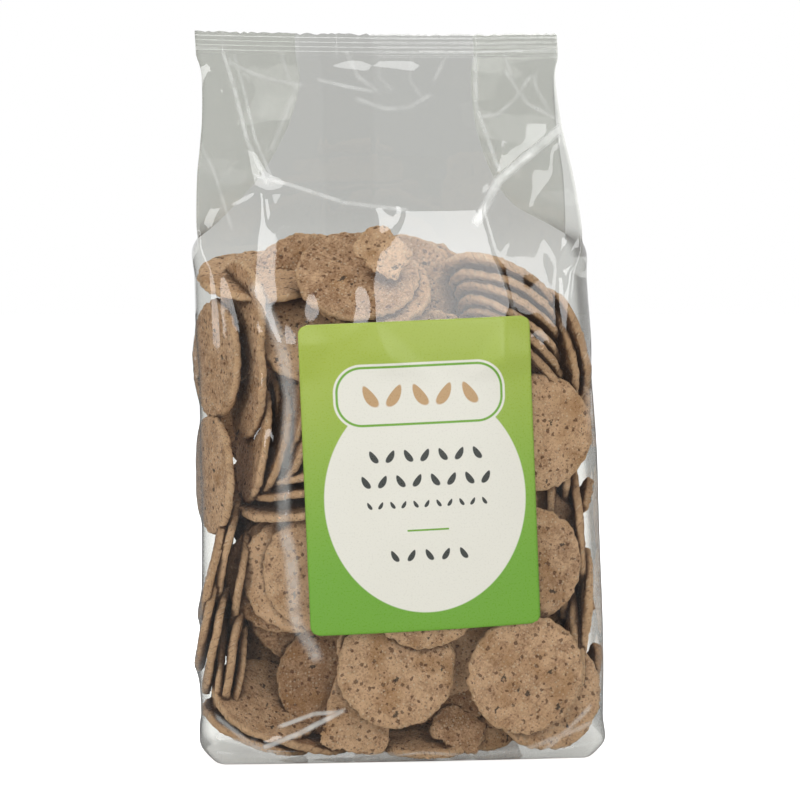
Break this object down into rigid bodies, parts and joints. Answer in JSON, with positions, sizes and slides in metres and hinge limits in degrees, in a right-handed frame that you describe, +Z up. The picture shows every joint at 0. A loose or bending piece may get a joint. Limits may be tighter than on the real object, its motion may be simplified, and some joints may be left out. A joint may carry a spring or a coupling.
{
  "type": "bag of sesame crackers",
  "caption": "Clear sealed gusseted film bag standing on its block base, filled with round thin sesame crackers, with a printed label on the front.",
  "frame": {"origin": "middle of the whole bag's outline, on the plane that it stands on", "axes": "+Z up along the bag's height, the label's side faces -Y, +X to the right seen from the front"},
  "size_m": [0.161, 0.0716, 0.282],
  "materials": {
    "crackers": "baked cracker, light brown with dark specks and sesame seeds",
    "film": "thin clear glossy film with creases",
    "label": "semi-gloss printed film label, green with a cream disc"
  },
  "bodies": {
    "root": {"bag_of_crackers": "crackers", "label": "label"}
  },
  "joints": []
}
